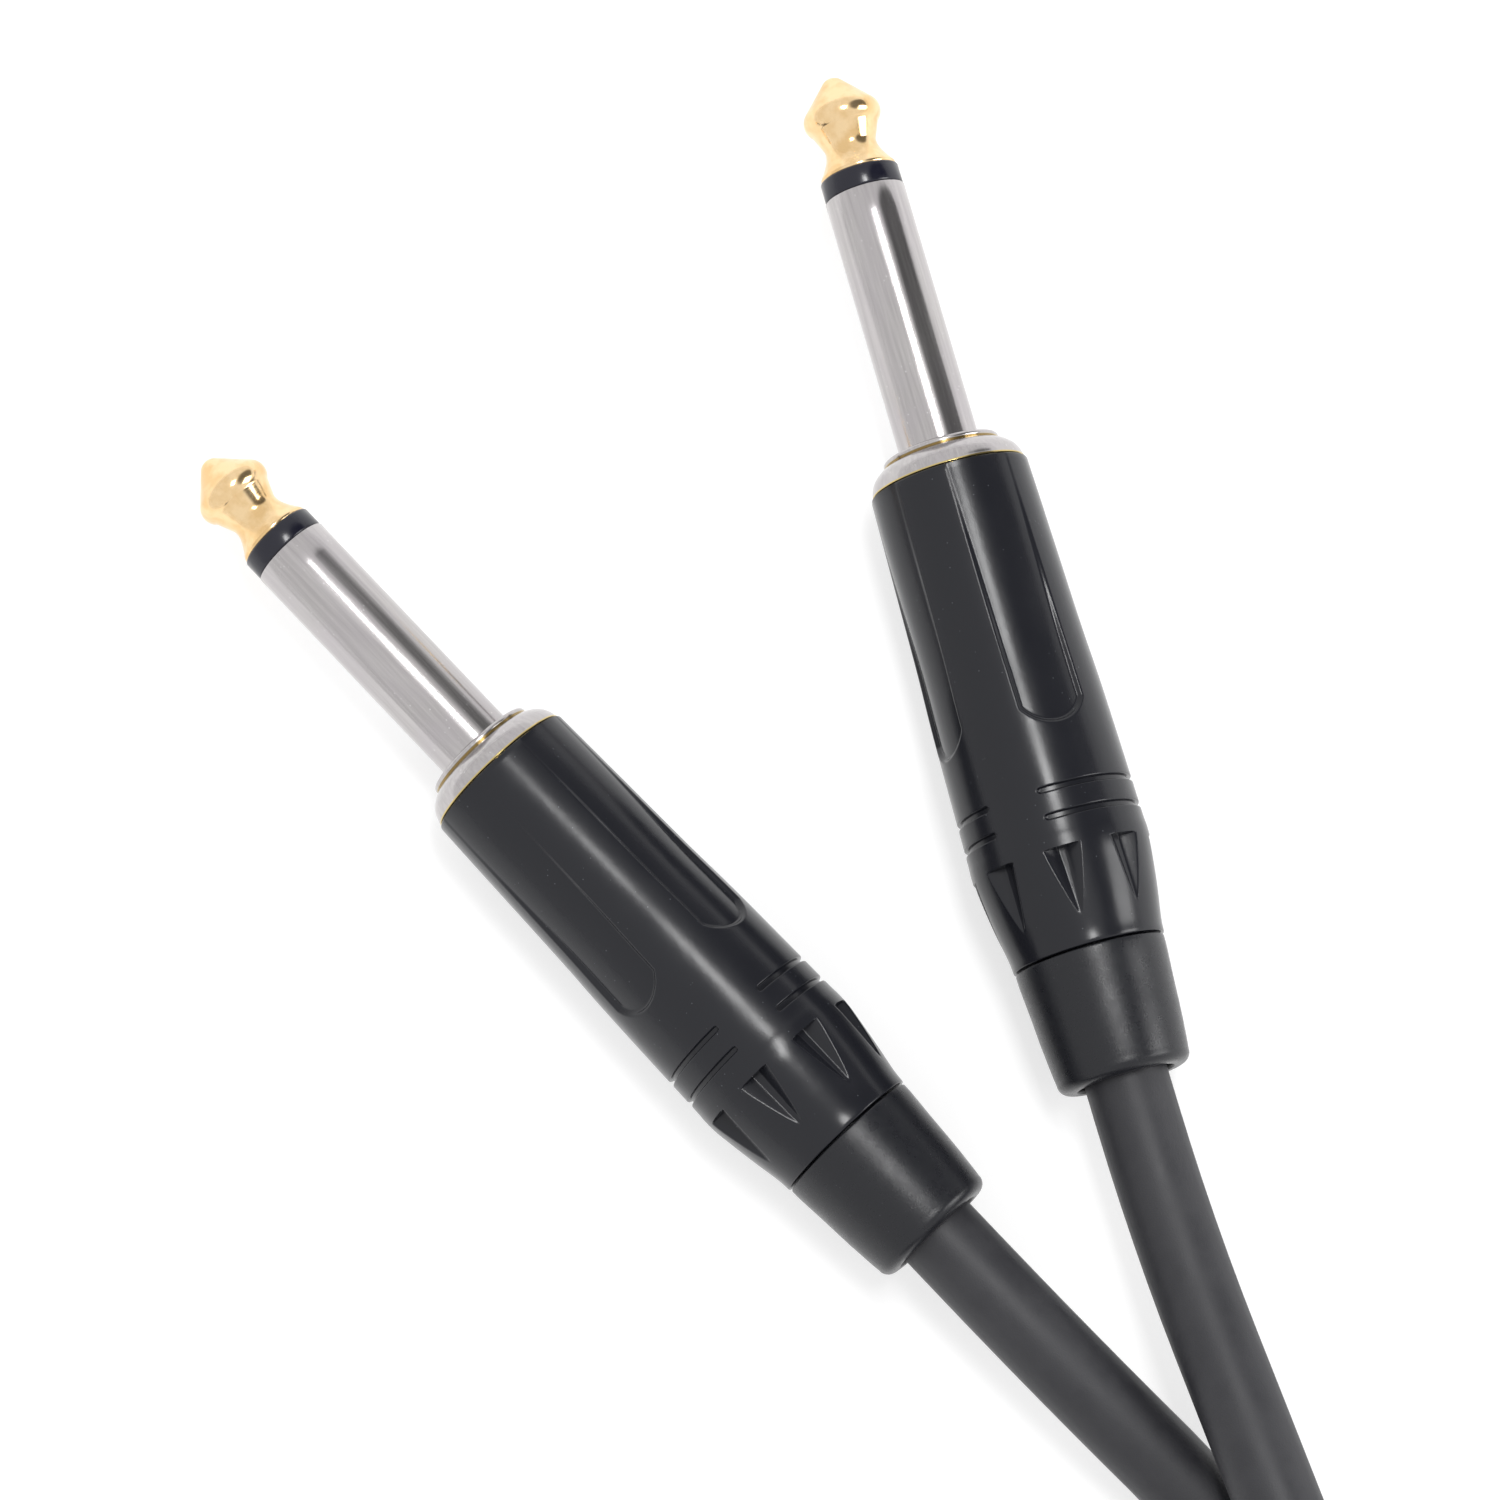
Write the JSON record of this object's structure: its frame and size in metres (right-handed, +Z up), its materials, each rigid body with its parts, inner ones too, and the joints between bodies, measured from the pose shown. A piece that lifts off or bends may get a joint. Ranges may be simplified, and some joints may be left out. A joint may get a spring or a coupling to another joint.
{
  "type": "instrument cable",
  "caption": "Shielded audio cable with a straight quarter-inch mono plug on each end, its spare length folded into a tied hank.",
  "frame": {"origin": "centre of the two plugs' footprint on the surface they lie on", "axes": "+Y along the right plug (plug_b), towards its tip; +Z up from the surface; +X to the right of plug_b"},
  "size_m": [0.0699, 0.2814, 0.0284],
  "materials": {
    "gold": "polished gold plate",
    "nickel": "polished nickel plate",
    "black_insulator": "glossy",
    "white_plastic": "moulded",
    "tinned_steel": "tinned sheet",
    "copper": "stranded copper",
    "solder": "satin solder",
    "shell_lacquer": "gloss black lacquer",
    "gland_plastic": "moulded",
    "boot_plastic": "fine satin grain",
    "cable_jacket": "matte charcoal",
    "tie_fabric": "black hook-and-loop tape"
  },
  "bodies": {
    "cable_and_inserts": {"tip_contact_a": "gold", "tip_insulator_a": "black_insulator", "rod_insulator_a": "white_plastic", "sleeve_a": "nickel", "ground_lug_a": "tinned_steel", "rear_insulator_a": "white_plastic", "tip_lug_a": "tinned_steel", "jacket_end_a": "cable_jacket", "core_a": "white_plastic", "conductor_a": "copper", "shield_tail_a": "copper", "solder_tip_a": "solder", "solder_ground_a": "solder", "tip_contact_b": "gold", "tip_insulator_b": "black_insulator", "rod_insulator_b": "white_plastic", "sleeve_b": "nickel", "ground_lug_b": "tinned_steel", "rear_insulator_b": "white_plastic", "tip_lug_b": "tinned_steel", "jacket_end_b": "cable_jacket", "core_b": "white_plastic", "conductor_b": "copper", "shield_tail_b": "copper", "solder_tip_b": "solder", "solder_ground_b": "solder", "cable_lead_a": "cable_jacket", "cable_lead_b": "cable_jacket", "cable_hank": "cable_jacket", "cable_tie": "tie_fabric"},
    "liner_a": {"liner_a": "white_plastic"},
    "shell_a": {"shell_a": "shell_lacquer"},
    "chuck_a": {"chuck_a": "white_plastic"},
    "boot_a": {"gland_a": "gland_plastic", "boot_a": "boot_plastic"},
    "liner_b": {"liner_b": "white_plastic"},
    "shell_b": {"shell_b": "shell_lacquer"},
    "chuck_b": {"chuck_b": "white_plastic"},
    "boot_b": {"gland_b": "gland_plastic", "boot_b": "boot_plastic"}
  },
  "joints": [
    {"name": "shell_a_advance", "type": "slide", "parent": "cable_and_inserts", "child": "liner_a", "axis": [0.4633, -0.8862, 0], "range_m": [0, 0.005]},
    {"name": "shell_a_unscrew", "type": "hinge", "parent": "liner_a", "child": "shell_a", "pos_m": [-0.00714, -0.01521, 0.007], "axis": [0.4633, -0.8862, 0], "range_deg": [0, 1800]},
    {"name": "boot_a_advance", "type": "slide", "parent": "shell_a", "child": "chuck_a", "axis": [0.4633, -0.8862, 0], "range_m": [0, 0.005]},
    {"name": "boot_a_unscrew", "type": "hinge", "parent": "chuck_a", "child": "boot_a", "pos_m": [0.00445, -0.03737, 0.007], "axis": [0.4633, -0.8862, 0], "range_deg": [0, 1800]},
    {"name": "shell_b_advance", "type": "slide", "parent": "cable_and_inserts", "child": "liner_b", "axis": [0, -1, 0], "range_m": [0, 0.005]},
    {"name": "shell_b_unscrew", "type": "hinge", "parent": "liner_b", "child": "shell_b", "pos_m": [0.02465, -0.0043, 0.007], "axis": [0, -1, 0], "range_deg": [0, 1800]},
    {"name": "boot_b_advance", "type": "slide", "parent": "shell_b", "child": "chuck_b", "axis": [0, -1, 0], "range_m": [0, 0.005]},
    {"name": "boot_b_unscrew", "type": "hinge", "parent": "chuck_b", "child": "boot_b", "pos_m": [0.02465, -0.0293, 0.007], "axis": [0, -1, 0], "range_deg": [0, 1800]}
  ],
  "couplings": [
    {"joint": "shell_a_unscrew", "follows": "shell_a_advance", "rad_per_m": 6283.2},
    {"joint": "boot_a_unscrew", "follows": "boot_a_advance", "rad_per_m": 6283.2},
    {"joint": "shell_b_unscrew", "follows": "shell_b_advance", "rad_per_m": 6283.2},
    {"joint": "boot_b_unscrew", "follows": "boot_b_advance", "rad_per_m": 6283.2}
  ]
}
